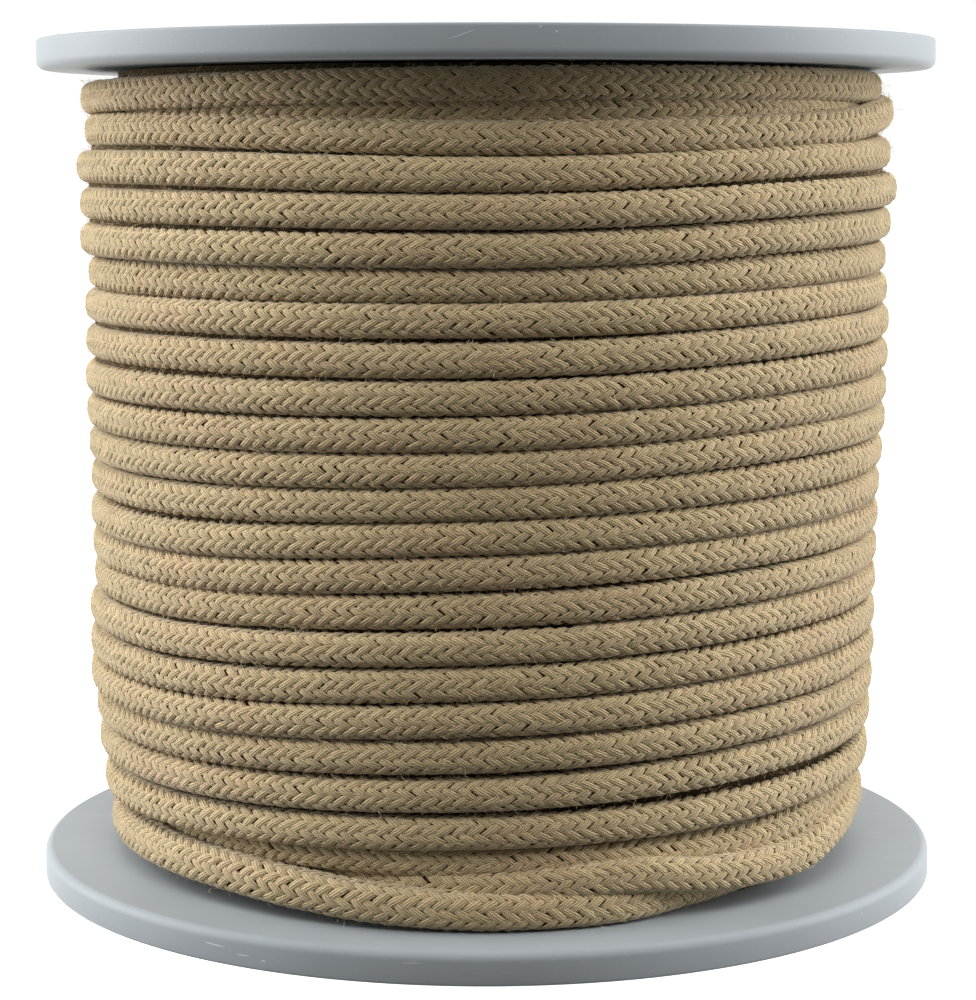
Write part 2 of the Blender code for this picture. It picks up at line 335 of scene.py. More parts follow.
class Route:
    """A strand's centre line with the directions that a braid needs, at even small steps."""

    STEP_DEGREES = 0.5

    def __init__(self, knots, rope_radius, squareness=2.8):
        self.rope_radius = rope_radius
        self.squareness = squareness
        self.angles = angles = np.arange(knots[0][0], knots[-1][0], self.STEP_DEGREES)
        heights, outermost = smooth_table(knots, angles).T * MM
        turned = np.radians(angles)
        zero = np.zeros_like(turned)
        level = np.stack([np.sin(turned), -np.cos(turned), zero], axis=1)
        self.centre = level * (outermost - rope_radius)[:, None]
        self.centre[:, 2] = heights * TRACED_HEIGHT_SHARE
        forward = np.gradient(self.centre, axis=0)
        forward /= np.linalg.norm(forward, axis=1, keepdims=True)
        outward = level - forward * np.sum(level * forward, axis=1, keepdims=True)
        self.outward = outward / np.linalg.norm(outward, axis=1, keepdims=True)
        self.upward = np.cross(self.outward, forward)
        self.forward = forward
        steps = np.linalg.norm(np.diff(self.centre, axis=0), axis=1)
        self.along = np.concatenate([[0.0], np.cumsum(steps)])
        self.length = self.along[-1]

    def at(self, distance, values):
        """Values given at the steps, read at any distances along the strand."""
        return np.stack([np.interp(distance, self.along, values[:, axis]) for axis in range(3)], axis=-1)

    def surface(self, distance, around, depth):
        """Points at a distance along, an angle around from outward to up, and a depth from the centre.
        The tension of the winding presses the rope a little square."""
        side = np.cos(around)[..., None] * self.at(distance, self.outward)
        side = side + FLATTENED_SHARE * np.sin(around)[..., None] * self.at(distance, self.upward)
        squared = np.abs(np.cos(around)) ** self.squareness + np.abs(np.sin(around)) ** self.squareness
        reach = depth * squared ** (-1.0 / self.squareness)
        return self.at(distance, self.centre) + side * reach[..., None]


def mesh_piece(name, points, faces, material, uv_maps=None, tint=None):
    """A piece from arrays: points (n, 3), faces (m, 4 or 3), UV maps and a tint for each point."""
    mesh = bpy.data.meshes.new(name)
    corner_count = faces.shape[1]
    corners = faces.reshape(-1)
    mesh.vertices.add(len(points))
    mesh.vertices.foreach_set("co", np.ascontiguousarray(points, dtype=np.float32).reshape(-1))
    mesh.loops.add(len(corners))
    mesh.loops.foreach_set("vertex_index", corners.astype(np.int32))
    mesh.polygons.add(len(faces))
    mesh.polygons.foreach_set("loop_start", np.arange(0, len(corners), corner_count, dtype=np.int32))
    for map_name, coordinates in (uv_maps or {}).items():
        layer = mesh.uv_layers.new(name=map_name)
        layer.data.foreach_set("uv", coordinates[corners].astype(np.float32).reshape(-1))
    if tint is not None:
        attribute = mesh.attributes.new("braid_tone_and_shade", "FLOAT_COLOR", "POINT")
        attribute.data.foreach_set("color", tint.astype(np.float32).reshape(-1))
    mesh.update(calc_edges=True)
    mesh.validate()
    mesh.shade_smooth()
    mesh.materials.append(material)
    piece = bpy.data.objects.new(name, mesh)
    bpy.context.scene.collection.objects.link(piece)
    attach(piece, BODY)
    return piece


def grid_faces(rows, columns, closed=False):
    """Quads of a grid of points, row after row. A closed grid joins its last column to its first."""
    gaps = columns if closed else columns - 1
    row, column = np.meshgrid(np.arange(rows - 1), np.arange(gaps), indexing="ij")
    here = row * columns + column
    across = row * columns + (column + 1) % columns
    return np.stack([here, across, across + columns, here + columns], axis=-1).reshape(-1, 4)


def arc_along(route, arc):
    """The arc that can show at each step of a strand, from one number or rows of (angle, arc)."""
    if np.ndim(arc) == 0:
        return np.full(len(route.angles), arc)
    table = np.array(arc)
    return np.interp(route.angles, table[:, 0], np.radians(table[:, 1]))


def float_places(route, settings, arc, rng):
    """Every float of a strand that shows within an arc: its place, its slant and its strand."""
    spacing = settings.float_spacing
    wander = np.array([rng.uniform(0.0, 2.0 * math.pi) for _ in range(3)])
    places = []
    for wale in range(settings.wales):
        slant = 1.0 if wale % 2 == 0 else -1.0
        count = int(route.length / spacing)
        order = np.arange(count)
        distance = (order + 0.5 + 0.25 * slant) * spacing
        twist = LONG_TWIST * np.sin(distance / LONG_TWIST_LENGTH + wander[0])
        twist = twist + SHORT_TWIST * np.sin(distance / SHORT_TWIST_LENGTH + wander[1]) + wander[2]
        around = (2 * wale + 0.5) * math.pi / settings.wales + twist
        around = (around + math.pi) % (2.0 * math.pi) - math.pi
        strand = (wale // 2 - slant * order) % settings.wales + (0 if slant > 0 else settings.wales)
        widest = np.interp(distance, route.along, arc_along(route, arc))
        shown = (np.abs(around) < widest) & (distance > spacing) & (distance < route.length - spacing)
        places.append(np.stack([distance, around, np.full(count, slant), strand], axis=1)[shown])
    places = np.concatenate(places)
    return places[np.argsort(places[:, 0], kind="stable")]


def floats_mesh(route, settings, places, rng):
    """Points, faces, UV maps and tints of the floats at the given places."""
    rows = np.array(FLOAT_ROWS)
    across = np.array(FLOAT_COLUMNS)
    count = len(places)
    scale = route.rope_radius / settings.rope_radius
    half_round = math.pi * route.rope_radius / settings.wales
    half_along = settings.float_spacing / 2.0
    half_length = math.hypot(half_round, half_along)
    half_width = half_round * half_along / half_length * 1.02
    distance, around, slant, strand = (places[:, i, None, None] for i in range(4))
    turn = rng.normal(0.0, 0.07, (count, 1, 1))
    distance = distance + rng.normal(0.0, 0.07 * MM, (count, 1, 1))
    around = around + rng.normal(0.0, 0.018, (count, 1, 1))
    along = rows[None, :, 0, None] * half_length
    wide = across[None, None, :] * half_width * rows[None, :, 2, None]
    wide = wide * rng.uniform(0.93, 1.05, (count, 1, 1))
    lean = np.arctan2(half_round, half_along) * slant + turn
    step_along = along * np.cos(lean) - wide * np.sin(lean)
    step_round = along * np.sin(lean) + wide * np.cos(lean)
    height = settings.float_height * scale * rng.uniform(0.9, 1.08, (count, 1, 1))
    crown = height * np.sqrt(1.0 - across[None, None, :] ** 2)
    base = route.rope_radius - settings.float_height * scale
    depth = base - rows[None, :, 1, None] * MM * scale + crown + rng.normal(0.0, 0.02 * MM, (count, 1, 1))
    points = route.surface(distance + step_along, around + step_round / route.rope_radius, depth)
    points_each = len(rows) * len(across)
    points = points.reshape(-1, 3)
    faces = grid_faces(len(rows), len(across))
    faces = (faces[None] + np.arange(count)[:, None, None] * points_each).reshape(-1, 4)
    weave = np.empty((count, len(rows), len(across), 2))
    weave[..., 0] = across[None, None, :] * rows[None, :, 2, None]
    weave[..., 1] = rows[None, :, 0, None] * half_length / half_width + strand * STRAND_SHIFT
    weave[..., 1] += distance / settings.float_spacing
    tint = np.ones((count, len(rows), len(across), 4))
    strand_tint = rng.uniform(0.0, 1.0, 2 * settings.wales)
    tint[..., 0] = rng.uniform(0.0, 1.0, (count, 1, 1))
    tint[..., 1] = strand_tint[places[:, 3].astype(int)][:, None, None]
    # Blue: how far each point lies below its float's crown, which the material turns into painted shade
    tint[..., 2] = np.clip((depth - base + 0.2 * MM) / (settings.float_height * scale + 0.2 * MM), 0.0, 1.0)
    uv_maps = {"weave": weave.reshape(-1, 2), "OFBake": float_atlas(count, rows, across)}
    return points, faces, uv_maps, tint.reshape(-1, 4)


def float_atlas(count, rows, across):
    """A map that gives each float a cell of its own, three times as tall as it is wide."""
    cells_wide = math.ceil(math.sqrt(count * 3.0))
    cells_high = math.ceil(count / cells_wide)
    order = np.arange(count)
    margin = 0.08
    u = margin + (1.0 - 2.0 * margin) * (across[None, None, :] + 1.0) / 2.0
    v = margin + (1.0 - 2.0 * margin) * (rows[None, :, 0, None] / rows[-1, 0] + 1.0) / 2.0
    atlas = np.empty((count, len(rows), len(across), 2))
    atlas[..., 0] = ((order % cells_wide)[:, None, None] + u) / cells_wide
    atlas[..., 1] = ((order // cells_wide)[:, None, None] + v) / cells_high
    return atlas.reshape(-1, 2)


def braid_pieces(name, route, settings, arc, material, seed):
    """A strand's floats in pieces of a workable size."""
    rng = np.random.default_rng(seed)
    places = float_places(route, settings, arc, rng)
    pieces = []
    groups = np.array_split(places, math.ceil(len(places) / FLOATS_PER_PIECE))
    for number, group in enumerate(groups, start=1):
        points, faces, uv_maps, tint = floats_mesh(route, settings, group, rng)
        piece_name = name if len(groups) == 1 else f"{name}_{number}"
        piece = mesh_piece(piece_name, points, faces, material, uv_maps, tint)
        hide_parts(WINDING_NODE)
        pieces.append(piece)
    return pieces


def tube_arrays(route, depth, arc, step, sides):
    """Points and quads of the inside of a strand, over the arc of it that can show."""
    distance = np.linspace(0.0, route.length, max(2, int(route.length / step)))
    around = np.linspace(-arc, arc, sides)
    along, turn = np.meshgrid(distance, around, indexing="ij")
    points = route.surface(along, turn, np.full_like(along, depth))
    return points.reshape(-1, 3), grid_faces(len(distance), sides)


def join_arrays(parts):
    """Several (points, faces) as one."""
    points, faces, start = [], [], 0
    for part_points, part_faces in parts:
        points.append(part_points)
        faces.append(part_faces + start)
        start += len(part_points)
    return np.concatenate(points), np.concatenate(faces)


def hair_arrays(route, settings, arc, count, rng):
    """Short bent fibres that stand off a strand, two narrow triangles each."""
    distance = rng.uniform(2.0 * MM, route.length - 2.0 * MM, count)
    scatter = rng.normal(0.0, 1.0, count) * FUZZ_SPREAD
    around = scatter + rng.choice(FUZZ_BANDS, count, p=FUZZ_BAND_SHARES) * arc * FUZZ_BAND_ARC
    around = np.clip(around, -arc, arc)
    root = route.surface(distance, around, np.full(count, route.rope_radius - 0.12 * MM))
    out = np.cos(around)[:, None] * route.at(distance, route.outward)
    out += np.sin(around)[:, None] * route.at(distance, route.upward)
    ahead = route.at(distance, route.forward)
    side = np.cross(ahead, out)
    lean_ahead = rng.normal(0.0, 1.0, (count, 1))
    lean_side = rng.normal(0.0, 1.0, (count, 1))
    rise = rng.uniform(0.25, 1.1, (count, 1))
    way = out * rise + ahead * lean_ahead + side * lean_side
    way /= np.linalg.norm(way, axis=1, keepdims=True)
    length = settings.hair_length * rng.gamma(4.0, 0.25, (count, 1))
    droop = ahead * rng.normal(0.0, 0.5, (count, 1))
    droop = droop + side * rng.normal(0.0, 0.5, (count, 1)) - out * 0.25
    middle = root + way * length * 0.5
    tip = root + (way + droop) * length
    flat = np.cross(way, out + ahead * 0.3)
    flat /= np.linalg.norm(flat, axis=1, keepdims=True)
    half = flat * settings.hair_width / 2.0
    points = np.stack([root, middle - half, middle + half, tip], axis=1).reshape(-1, 3)
    faces = np.array([[0, 1, 2], [1, 3, 2]])[None] + np.arange(count)[:, None, None] * 4
    return points, faces.reshape(-1, 3)


def add_node(tree, kind, settings=None, links=None):
    """A node with its settings, and its inputs linked or set by name or number."""
    node = tree.nodes.new(kind)
    for name, value in (settings or {}).items():
        setattr(node, name, value)
    for name, value in (links or {}).items():
        socket = node.inputs[name]
        if isinstance(value, bpy.types.NodeSocket):
            tree.links.new(value, socket)
        else:
            socket.default_value = value
    return node


def new_material(name):
    material = bpy.data.materials.new(name)
    material.use_nodes = True
    return material, material.node_tree, material.node_tree.nodes["Principled BSDF"]


def shader_values(shader, values):
    for name, value in values.items():
        shader.inputs[name].default_value = value


def rgba(colour):
    return (*colour, 1.0)


def spun_braid_material(settings):
    """Spun polypropylene yarn, dyed and braided. Its short fibres make it wholly matte, each
    float shows three or four plied yarns, and its sunk edges and ends get painted shade."""
    material, tree, shader = new_material("spun_polypropylene_braid")
    tint = add_node(tree, "ShaderNodeVertexColor", {"layer_name": "braid_tone_and_shade"})
    parts = add_node(tree, "ShaderNodeSeparateColor", None, {"Color": tint.outputs["Color"]})
    place = add_node(tree, "ShaderNodeTexCoord")
    # Dye patches about 18 mm across
    patches = add_node(tree, "ShaderNodeTexNoise", None, {
        "Vector": place.outputs["Object"], "Scale": 1.0 / 0.018, "Detail": 2.0, "Roughness": 0.6})
    patch_share = add_node(tree, "ShaderNodeMapRange", None, {
        "Value": patches.outputs["Fac"], "From Min": 0.5, "From Max": 0.75, "To Min": 0.0, "To Max": 0.5})
    dyed = add_node(tree, "ShaderNodeMix", {"data_type": "RGBA"}, {
        "Factor": patch_share.outputs["Result"], 6: rgba(settings.yarn_colour),
        7: rgba(settings.warm_colour)})
    # Each float and each strand is a little lighter or darker than the next
    float_light = add_node(tree, "ShaderNodeMapRange", None, {
        "Value": parts.outputs["Red"], "To Min": 0.92, "To Max": 1.07})
    strand_light = add_node(tree, "ShaderNodeMapRange", None, {
        "Value": parts.outputs["Green"], "To Min": 0.96, "To Max": 1.03})
    light = add_node(tree, "ShaderNodeMath", {"operation": "MULTIPLY"}, {
        0: float_light.outputs["Result"], 1: strand_light.outputs["Result"]})
    # Three and a half yarns of 0.37 mm across each float
    weave = add_node(tree, "ShaderNodeUVMap", {"uv_map": "weave"})
    wobble = add_node(tree, "ShaderNodeTexNoise", None, {
        "Vector": weave.outputs["UV"], "Scale": 1.6, "Detail": 2.0})
    across = add_node(tree, "ShaderNodeSeparateXYZ", None, {"Vector": weave.outputs["UV"]})
    shifted = add_node(tree, "ShaderNodeMath", {"operation": "MULTIPLY_ADD"}, {
        0: wobble.outputs["Fac"], 1: 0.55, 2: across.outputs["X"]})
    phase = add_node(tree, "ShaderNodeMath", {"operation": "MULTIPLY"}, {
        0: shifted.outputs["Value"], 1: 1.75 * math.pi})
    wave = add_node(tree, "ShaderNodeMath", {"operation": "COSINE"}, {0: phase.outputs["Value"]})
    yarns = add_node(tree, "ShaderNodeMath", {"operation": "ABSOLUTE"}, {0: wave.outputs["Value"]})
    # Fibres about 0.05 mm thick, drawn at 0.12 mm so that they show
    fibres = add_node(tree, "ShaderNodeTexNoise", None, {
        "Vector": place.outputs["Object"], "Scale": 1.0 / 0.00024, "Detail": 3.0, "Roughness": 0.7})
    yarn_light = add_node(tree, "ShaderNodeMapRange", None, {
        "Value": yarns.outputs["Value"], "From Max": 0.7, "To Min": 0.36, "To Max": 1.06})
    fibre_light = add_node(tree, "ShaderNodeMapRange", None, {
        "Value": fibres.outputs["Fac"], "From Min": 0.3, "From Max": 0.7, "To Min": 0.86, "To Max": 1.12})
    fine = add_node(tree, "ShaderNodeMath", {"operation": "MULTIPLY"}, {
        0: yarn_light.outputs["Result"], 1: fibre_light.outputs["Result"]})
    all_light = add_node(tree, "ShaderNodeMath", {"operation": "MULTIPLY"}, {
        0: light.outputs["Value"], 1: fine.outputs["Value"]})
    lit = add_node(tree, "ShaderNodeVectorMath", {"operation": "SCALE"}, {
        0: dyed.outputs[2], "Scale": all_light.outputs["Value"]})
    # Painted shade: where a float sinks under its neighbours, its colour goes over to the deep colour
    depth = add_node(tree, "ShaderNodeMapRange", {"interpolation_type": "SMOOTHSTEP"}, {
        "Value": parts.outputs["Blue"], "From Min": 0.05, "From Max": 0.6})
    colour = add_node(tree, "ShaderNodeMix", {"data_type": "RGBA"}, {
        "Factor": depth.outputs["Result"], 6: rgba(settings.painted_shade_colour), 7: lit.outputs["Vector"]})
    tree.links.new(colour.outputs[2], shader.inputs["Base Color"])
    relief = add_node(tree, "ShaderNodeMath", {"operation": "MULTIPLY_ADD"}, {
        0: fibres.outputs["Fac"], 1: 0.5, 2: yarns.outputs["Value"]})
    bump = add_node(tree, "ShaderNodeBump", None, {
        "Height": relief.outputs["Value"], "Strength": 1.0, "Distance": 0.13 * MM})
    tree.links.new(bump.outputs["Normal"], shader.inputs["Normal"])
    shader_values(shader, {"Roughness": 0.95, "IOR": 1.49, "Specular IOR Level": 0.15, "Sheen Weight": 0.35,
                           "Sheen Roughness": 0.5, "Sheen Tint": (1.0, 0.98, 0.95, 1.0)})
    return material


def shaded_braid_material(settings):
    """The same yarn deep between the floats and under the outer layer, painted dark as the shade
    of the gaps, which is all that shows of it."""
    material, tree, shader = new_material("painted_shade_in_the_gaps")
    place = add_node(tree, "ShaderNodeTexCoord")
    fibres = add_node(tree, "ShaderNodeTexNoise", None, {
        "Vector": place.outputs["Object"], "Scale": 1.0 / 0.0006, "Detail": 3.0})
    # Painted shade: a fifth to a half of the deep colour, mottled by the fibres
    colour = add_node(tree, "ShaderNodeMix", {"data_type": "RGBA"}, {
        "Factor": fibres.outputs["Fac"], 6: rgba([c * 0.2 for c in settings.painted_shade_colour]),
        7: rgba([c * 0.5 for c in settings.painted_shade_colour])})
    tree.links.new(colour.outputs[2], shader.inputs["Base Color"])
    bump = add_node(tree, "ShaderNodeBump", None, {
        "Height": fibres.outputs["Fac"], "Strength": 0.6, "Distance": 0.2 * MM})
    tree.links.new(bump.outputs["Normal"], shader.inputs["Normal"])
    shader_values(shader, {"Roughness": 0.97, "IOR": 1.49, "Specular IOR Level": 0.1})
    return material


def loose_fibre_material(settings):
    """Single polypropylene fibres: too thin for a pattern, so they have one colour."""
    material, _, shader = new_material("loose_fibre")
    shader_values(shader, {"Base Color": rgba(settings.hair_colour), "Roughness": 0.8, "IOR": 1.49,
                           "Specular IOR Level": 0.2})
    return material


def moulded_plastic_material(settings):
    """Grey polystyrene, injection moulded in a plain steel mould: satin, evenly coloured, with
    hairline scuffs round the rim from handling."""
    material, tree, shader = new_material("moulded_polystyrene")
    place = add_node(tree, "ShaderNodeTexCoord")
    # Clouding of the regrind about 30 mm across
    clouds = add_node(tree, "ShaderNodeTexNoise", None, {
        "Vector": place.outputs["Object"], "Scale": 1.0 / 0.03, "Detail": 3.0})
    # Hairline scuffs 0.3 mm wide and some 9 mm long, nearly level
    stretched = add_node(tree, "ShaderNodeMapping", None, {
        "Vector": place.outputs["Object"], "Rotation": (0.0, 0.03, 0.25),
        "Scale": (1.0 / 0.009, 1.0 / 0.0003, 1.0 / 0.0003)})
    scratches = add_node(tree, "ShaderNodeTexNoise", None, {
        "Vector": stretched.outputs["Vector"], "Scale": 1.0, "Detail": 2.0, "Roughness": 0.5})
    scuffs = add_node(tree, "ShaderNodeMapRange", None, {
        "Value": scratches.outputs["Fac"], "From Min": 0.66, "From Max": 0.82, "To Max": 0.5})
    cloud_light = add_node(tree, "ShaderNodeMapRange", None, {
        "Value": clouds.outputs["Fac"], "From Min": 0.3, "From Max": 0.7, "To Min": 0.95, "To Max": 1.05})
    base = add_node(tree, "ShaderNodeVectorMath", {"operation": "SCALE"}, {
        0: settings.plastic_colour[:], "Scale": cloud_light.outputs["Result"]})
    colour = add_node(tree, "ShaderNodeMix", {"data_type": "RGBA"}, {
        "Factor": scuffs.outputs["Result"], 6: base.outputs["Vector"], 7: rgba(settings.scuff_colour)})
    tree.links.new(colour.outputs[2], shader.inputs["Base Color"])
    # Mould grain of about 0.4 mm
    grain = add_node(tree, "ShaderNodeTexNoise", None, {
        "Vector": place.outputs["Object"], "Scale": 1.0 / 0.0004, "Detail": 2.0})
    rough = add_node(tree, "ShaderNodeMapRange", None, {
        "Value": clouds.outputs["Fac"], "From Min": 0.3, "From Max": 0.7, "To Min": 0.5, "To Max": 0.6})
    tree.links.new(rough.outputs["Result"], shader.inputs["Roughness"])
    bump = add_node(tree, "ShaderNodeBump", None, {
        "Height": grain.outputs["Fac"], "Strength": 0.25, "Distance": 0.01 * MM})
    tree.links.new(bump.outputs["Normal"], shader.inputs["Normal"])
    shader_values(shader, {"IOR": 1.45, "Specular IOR Level": 0.22})
    return material


def scuffed_plastic_material(settings):
    """Polystyrene roughened by a knock: paler and without gloss. The marks are too small for a
    pattern, so they have one colour."""
    material, _, shader = new_material("scuffed_polystyrene")
    shader_values(shader, {"Base Color": rgba(settings.scuff_colour), "Roughness": 0.9, "IOR": 1.59,
                           "Specular IOR Level": 0.2})
    return material


def plain_floor_material(settings):
    """White acrylic table, lit from beneath: nothing but soft shadow shows on it."""
    material, _, shader = new_material("lit_white_table")
    shader_values(shader, {"Base Color": rgba(settings.floor_colour), "Roughness": 0.9,
                           "Specular IOR Level": 0.2, "Emission Color": (1.0, 1.0, 1.0, 1.0),
                           "Emission Strength": settings.floor_glow})
    return material


def material_once(name, maker, settings):
    return bpy.data.materials.get(name) or maker(settings)


class ROPESPOOL_OT_outer_turns(bpy.types.Operator):
    """Braid the outer turns of the winding, float by float"""

    bl_idname = "rope_spool.outer_turns"
    bl_label = "Braid the outer turns"
    # Wider where the strand lies free above the flange
    ARC = ((-400.0, 125.0), (-200.0, 125.0), (-170.0, 84.0))

    def execute(self, context):
        settings = context.scene.rope_spool_rope
        material = material_once("spun_polypropylene_braid", spun_braid_material, settings)
        route = Route(outer_layer_knots(), settings.rope_radius)
        braid_pieces("rope_turns", route, settings, self.ARC, material, SEED)
        return {"FINISHED"}


class ROPESPOOL_OT_slack_strand(bpy.types.Operator):
    """Braid the slack strand that crosses the bottom of the winding"""

    bl_idname = "rope_spool.slack_strand"
    bl_label = "Braid the slack strand"
    ARC = math.radians(125.0)

    def execute(self, context):
        settings = context.scene.rope_spool_rope
        material = material_once("spun_polypropylene_braid", spun_braid_material, settings)
        route = Route(SLACK_STRAND, settings.slack_radius)
        braid_pieces("slack_strand", route, settings, self.ARC, material, SEED + 1)
        return {"FINISHED"}


class ROPESPOOL_OT_groove_strands(bpy.types.Operator):
    """Braid the two strands of the layer beneath that show in the widest grooves"""

    bl_idname = "rope_spool.groove_strands"
    bl_label = "Braid the strands in the grooves"
    ARC = math.radians(105.0)

    def execute(self, context):
        settings = context.scene.rope_spool_rope
        material = material_once("spun_polypropylene_braid", spun_braid_material, settings)
        rows = (("lower_groove_strand", LOWER_GROOVE_STRAND), ("upper_groove_strand", UPPER_GROOVE_STRAND))
        for number, (name, knots) in enumerate(rows):
            route = Route(knots, settings.rope_radius)
            braid_pieces(name, route, settings, self.ARC, material, SEED + 2 + number)
        return {"FINISHED"}


class ROPESPOOL_OT_under_layer(bpy.types.Operator):
    """Fill the inside of the strands and the layer beneath them"""

    bl_idname = "rope_spool.under_layer"
    bl_label = "Fill the layer beneath"
    ARC = math.radians(115.0)
    TUBE_STEP = 3.6 * MM
    TUBE_SIDES = 8
    TUBE_INSET = 0.52 * MM
    LAYER_STEPS = 96
    LAYER_INSET = 3.4
    DEEP_INSET = 7.5
    # The turns lie closer at the sides, so the grooves there are shallower
    SIDE_FILL = 1.6

    def execute(self, context):
        settings = context.scene.rope_spool_rope
        # The insides of the strands and the layer beneath are painted as shade
        material = material_once("painted_shade_in_the_gaps", shaded_braid_material, settings)
        parts = []
        for knots, radius in all_strands(settings):
            route = Route(knots, radius)
            parts.append(tube_arrays(
                route, radius - self.TUBE_INSET, self.ARC, self.TUBE_STEP, self.TUBE_SIDES))
        points, faces = join_arrays(parts)
        insides = mesh_piece("strand_insides", points, faces, material)
        low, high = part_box(WINDING_NODE)
        heights = [low.z] + [row[1] * MM for row in TURNS] + [high.z]
        radii = [(row[3] + row[4]) / 2.0 - self.LAYER_INSET for row in TURNS]
        deep = self.DEEP_INSET - self.LAYER_INSET
        radii = [radii[0] - deep] * 2 + radii[1:-1] + [radii[-1] - deep] * 2
        turned = np.linspace(0.0, 2.0 * math.pi, self.LAYER_STEPS, endpoint=False)
        ring = np.stack([np.sin(turned), -np.cos(turned)], axis=1)
        filled = self.SIDE_FILL * (np.abs(np.sin(turned)) ** 6)[:, None]
        layer = [np.column_stack([ring * (radius + filled) * MM, np.full(len(ring), height)])
                 for radius, height in zip(radii, heights)]
        faces = grid_faces(len(heights), len(ring), True)
        beneath = mesh_piece("layer_beneath", np.concatenate(layer), faces, material)
        for piece in (insides, beneath):
            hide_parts(WINDING_NODE)
        return {"FINISHED"}


class ROPESPOOL_OT_fuzz(bpy.types.Operator):
    """Raise the short fibres that stand off the yarn"""

    bl_idname = "rope_spool.fuzz"
    bl_label = "Raise the fuzz"
    ARC = math.radians(100.0)

    def execute(self, context):
        settings = context.scene.rope_spool_rope
        material = material_once("loose_fibre", loose_fibre_material, settings)
        rng = np.random.default_rng(SEED + 5)
        parts = []
        for knots, radius in all_strands(settings):
            route = Route(knots, radius)
            count = int(route.length * settings.hairs_per_metre)
            parts.append(hair_arrays(route, settings, self.ARC, count, rng))
        points, faces = join_arrays(parts)
        low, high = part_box(WINDING_NODE)
        points[:, 2] = points[:, 2].clip(low.z - 0.2 * MM, high.z + 0.2 * MM)
        fuzz = mesh_piece("rope_fuzz", points, faces, material)
        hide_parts(WINDING_NODE)
        return {"FINISHED"}


def all_strands(settings):
    """Every strand's knots with its radius."""
    return (
        (outer_layer_knots(), settings.rope_radius),
        (SLACK_STRAND, settings.slack_radius),
        (LOWER_GROOVE_STRAND, settings.rope_radius),
        (UPPER_GROOVE_STRAND, settings.rope_radius),
    )


def arc_points(corner, towards, size, start_degrees, steps):
    """Points of a quarter circle in a corner of a turned profile."""
    centre = (corner[0] + size * towards[0], corner[1] + size * towards[1])
    angles = [math.radians(start_degrees + 90.0 * step / steps) for step in range(steps + 1)]
    return [(centre[0] + size * math.cos(a), centre[1] + size * math.sin(a)) for a in angles]


def flange_profile(settings, radius, thickness, ring_top):
    """The flange in section, its outer face at height 0 and its locating ring pointing up."""
    bore = settings.bore_radius
    ring_out = settings.ring_outside
    ring_in = ring_out - settings.ring_wall
    profile = arc_points((bore, 0.0), (1.0, 1.0), 0.8 * MM, 180.0, 4)
    profile += arc_points((radius, 0.0), (-1.0, 1.0), settings.outer_fillet, 270.0, 4)
    profile += arc_points((radius, thickness), (-1.0, -1.0), settings.rim_fillet, 0.0, 8)
    profile += [(ring_out, thickness), (ring_out, ring_top), (ring_in, ring_top), (ring_in, thickness)]
    profile += [(bore, thickness)]
    return profile


class ROPESPOOL_OT_flanges(bpy.types.Operator):
    """Turn both flanges with smooth rims and finish the barrel between them"""

    bl_idname = "rope_spool.flanges"
    bl_label = "Mould the spool"
    STEPS = 256
    SHARP_EDGE = math.radians(40.0)

    def execute(self, context):
        settings = context.scene.rope_spool_spool
        material = material_once("moulded_polystyrene", moulded_plastic_material, settings)
        winding_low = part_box(WINDING_NODE)[0]
        turned = np.linspace(0.0, 2.0 * math.pi, self.STEPS, endpoint=False)
        for node in ("spool_flange_bottom", "spool_flange_top"):
            low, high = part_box(node)
            thickness = winding_low.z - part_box("spool_flange_bottom")[0].z - 0.3 * MM
            profile = np.array(flange_profile(settings, high.x, thickness, high.z - low.z))
            if node.endswith("top"):
                profile[:, 1] = high.z - profile[:, 1]
                profile = profile[::-1]
            rings = [np.column_stack([r * np.sin(turned), -r * np.cos(turned), np.full(self.STEPS, z)])
                     for r, z in profile]
            points = np.concatenate(rings)
            faces = grid_faces(len(rings) + 1, self.STEPS, True) % len(points)
            piece = mesh_piece(node.replace("spool_", "") + "_moulded", points, faces, material)
            piece.data.set_sharp_from_angle(angle=self.SHARP_EDGE)
            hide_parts(node)
        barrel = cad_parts["spool_barrel"]
        for number in range(len(barrel.material_slots)):
            barrel.material_slots[number].material = material
        return {"FINISHED"}


class ROPESPOOL_OT_rim_marks(bpy.types.Operator):
    """Scuff the rims where handling has marked them"""

    bl_idname = "rope_spool.rim_marks"
    bl_label = "Mark the rims"
    STEPS = 8
    LIFT = 0.02 * MM

    def execute(self, context):
        settings = context.scene.rope_spool_spool
        material = material_once("scuffed_polystyrene", scuffed_plastic_material, settings)
        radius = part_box("spool_flange_bottom")[1].x + self.LIFT
        share = np.linspace(0.0, 1.0, self.STEPS)
        parts = []
        for start, low, end, high, width in RIM_MARKS:
            turned = np.radians(start + (end - start) * share)
            middle = low + (high - low) * share
            half = width / 2.0 * np.sqrt(np.clip(1.0 - (2.0 * share - 1.0) ** 2, 0.02, 1.0))
            level = [radius * np.sin(turned), -radius * np.cos(turned)]
            edges = [np.stack([*level, (middle + way * half) * MM], axis=1) for way in (-1.0, 1.0)]
            parts.append((np.concatenate(edges), grid_faces(2, self.STEPS)))
        points, faces = join_arrays(parts)
        mesh_piece("rim_marks", points, faces, material)
        return {"FINISHED"}


def aim(item, target):
    """Turns a light or camera at a point."""
    way = [t - c for t, c in zip(target, item.location)]
    flat = math.hypot(way[0], way[1])
    item.rotation_euler = (math.atan2(flat, -way[2]), 0.0, math.atan2(way[1], way[0]) - math.pi / 2.0)


